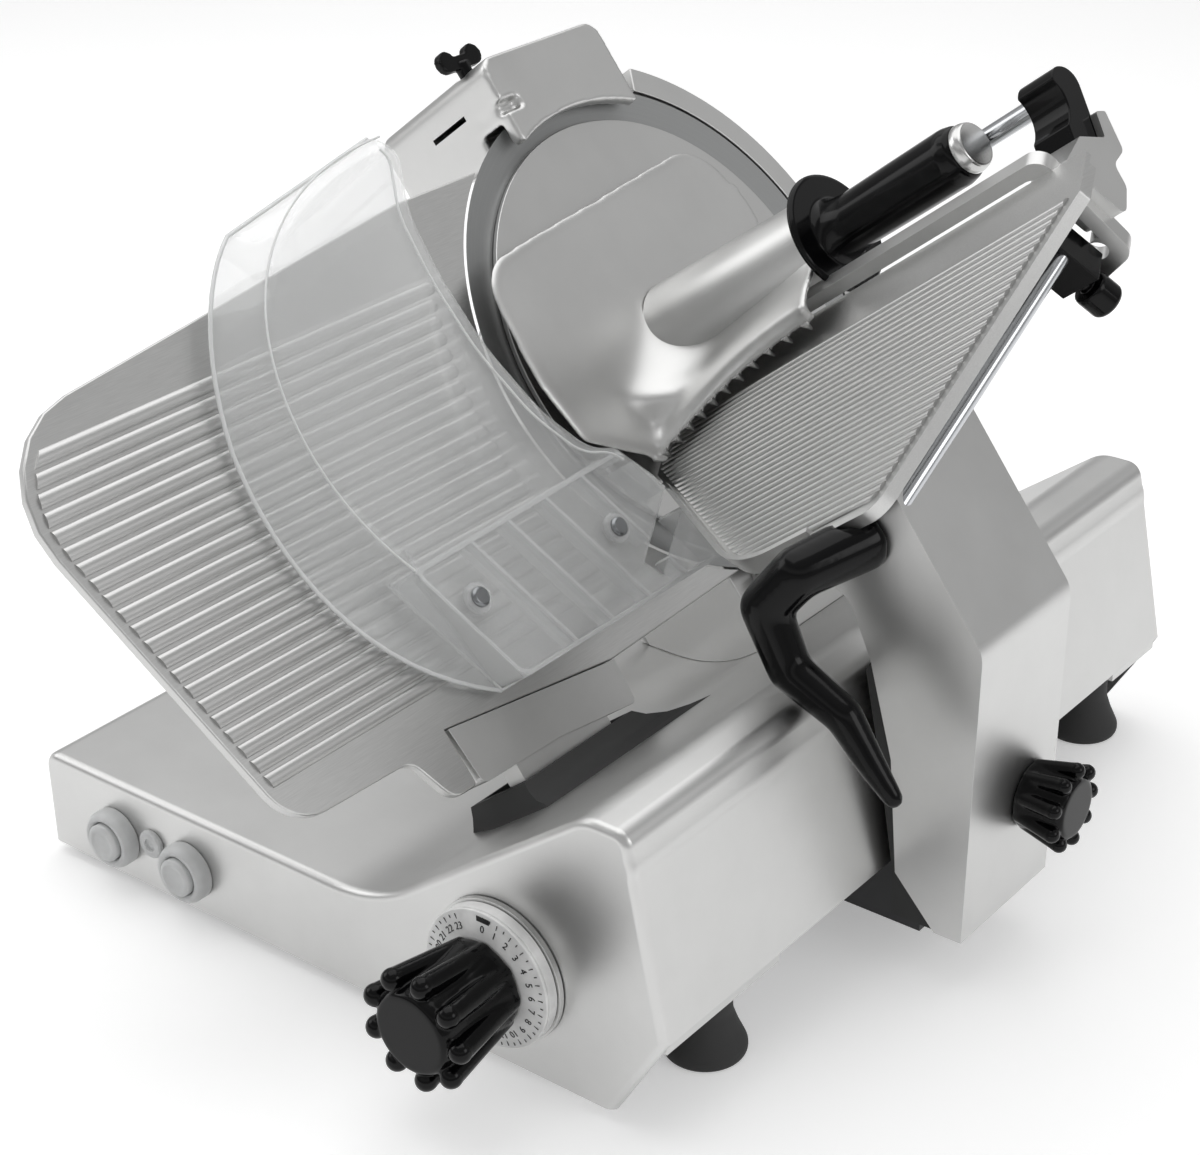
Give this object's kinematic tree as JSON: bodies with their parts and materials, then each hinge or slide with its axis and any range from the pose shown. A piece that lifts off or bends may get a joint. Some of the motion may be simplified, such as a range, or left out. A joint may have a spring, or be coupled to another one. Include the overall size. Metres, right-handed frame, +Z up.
{
  "type": "food slicer",
  "caption": "Gravity-feed electric food slicer with a tilted round blade, gauge plate, sliding product tray, last-slice pusher, clear guard and thickness dial",
  "frame": {"origin": "on the table under the middle of the machine's bounding box", "axes": "+Z up; -Y towards the operator, out of the front panel; the carriage slides along Y on the +X side; the blade leans back with its product side facing +X and up"},
  "size_m": [0.5718, 0.6809, 0.4743],
  "materials": {
    "cast_aluminium": "satin anodised casting",
    "machined_aluminium": "brushed anodised sheet",
    "grey_aluminium": "darker anodised ring",
    "blade_steel": "ground and polished",
    "steel": "ground",
    "bronze": "sintered",
    "black_plastic": "glossy bakelite black",
    "grey_plastic": "translucent grey cover",
    "clear_plastic": "clear moulded sheet",
    "black_rubber": "matte",
    "motor_grey": "satin dark grey",
    "board_green": "moulded box",
    "stone": "abrasive"
  },
  "bodies": {
    "base": {"housing": "cast_aluminium", "bottom_plate": "steel", "feet": "black_rubber", "dial_collar": "machined_aluminium", "button_collars": "grey_plastic", "indicator_lamp": "grey_plastic", "control_board": "board_green", "slide_rod": "steel", "guide_rail": "steel", "gauge_guide_rod": "steel", "gauge_guide_bracket": "machined_aluminium", "gauge_gaiter": "black_rubber", "blade_head": "cast_aluminium", "head_cover": "cast_aluminium", "motor": "motor_grey", "drive_belt": "black_rubber", "blade_bearings": "steel", "ring_guard": "grey_aluminium", "knife_cover": "machined_aluminium", "sharpener_hood": "cast_aluminium", "sharpener_stones": "stone", "base_screws": "steel"},
    "blade_group": {"blade": "blade_steel", "blade_shaft": "steel"},
    "rotor": {"motor_pulley": "steel"},
    "gauge": {"gauge_plate": "machined_aluminium", "gauge_carrier": "cast_aluminium", "cam_pin": "steel", "gauge_bush": "bronze"},
    "dial": {"thickness_knob": "black_plastic", "scale_ring": "machined_aluminium", "gauge_cam": "steel"},
    "start": {"start_button": "grey_plastic"},
    "stop": {"stop_button": "grey_plastic"},
    "carriage": {"carriage_arm": "cast_aluminium", "arm_liner": "black_plastic", "carriage_foot": "motor_grey", "slide_bush": "bronze", "product_tray": "machined_aluminium", "tray_frame": "cast_aluminium", "guide_rod": "steel", "rod_block": "black_plastic", "rod_bracket": "cast_aluminium", "strut_rod": "steel", "push_handle": "black_plastic", "hand_guard": "clear_plastic", "guard_screws": "steel", "clamp_block": "black_plastic"},
    "arm_lock": {"arm_knob": "black_plastic"},
    "clamp_lock": {"clamp_knob": "black_plastic"},
    "sharpener_lock": {"sharpener_knob": "black_plastic"},
    "pusher_carrier": {"pusher_sleeve": "steel"},
    "pusher": {"pusher_plate": "machined_aluminium", "pusher_hood": "cast_aluminium", "pusher_grip": "black_plastic", "grip_flange": "black_plastic", "grip_cap": "steel"}
  },
  "joints": [
    {"name": "blade_spin", "type": "hinge", "parent": "base", "child": "blade_group", "pos_m": [-0.08368, 0.15549, 0.272], "axis": [0.788, 0, 0.6157], "continuous": true},
    {"name": "motor_spin", "type": "hinge", "parent": "base", "child": "rotor", "pos_m": [-0.05478, 0.15549, 0.13754], "axis": [0.788, 0, 0.6157], "continuous": true},
    {"name": "gauge_slide", "type": "slide", "parent": "base", "child": "gauge", "axis": [-0.788, 0, -0.6157], "range_m": [0, 0.024]},
    {"name": "dial_turn", "type": "hinge", "parent": "base", "child": "dial", "pos_m": [0.08432, -0.23151, 0.069], "axis": [0, -1, 0], "range_deg": [0, 330]},
    {"name": "start_press", "type": "slide", "parent": "base", "child": "start", "axis": [0, 1, 0], "range_m": [0, 0.003], "stiffness_N_per_m": 900},
    {"name": "stop_press", "type": "slide", "parent": "base", "child": "stop", "axis": [0, 1, 0], "range_m": [0, 0.003], "stiffness_N_per_m": 900},
    {"name": "carriage_slide", "type": "slide", "parent": "base", "child": "carriage", "axis": [0, 1, 0], "range_m": [-0.108, 0.195]},
    {"name": "arm_knob_turn", "type": "hinge", "parent": "carriage", "child": "arm_lock", "pos_m": [0.24482, 0.04073, 0.10205], "axis": [1, 0, 0], "range_deg": [0, 360]},
    {"name": "clamp_knob_turn", "type": "hinge", "parent": "carriage", "child": "clamp_lock", "pos_m": [0.20219, 0.14377, 0.36706], "axis": [0.5104, 0.5592, -0.6533], "range_deg": [0, 360]},
    {"name": "sharpener_knob_turn", "type": "hinge", "parent": "base", "child": "sharpener_lock", "pos_m": [-0.21706, 0.11188, 0.4216], "axis": [-0.6157, 0, 0.788], "range_deg": [0, 90]},
    {"name": "pusher_slide", "type": "slide", "parent": "carriage", "child": "pusher_carrier", "axis": [0.788, 0, 0.6157], "range_m": [0, 0.118]},
    {"name": "pusher_swing", "type": "hinge", "parent": "pusher_carrier", "child": "pusher", "pos_m": [-0.08114, 0.17529, 0.26875], "axis": [0.788, 0, 0.6157], "range_deg": [-80, 0]}
  ],
  "couplings": [
    {"joint": "motor_spin", "follows": "blade_spin", "ratio": 2.3333},
    {"joint": "dial_turn", "follows": "gauge_slide", "rad_per_m": 239.9}
  ]
}
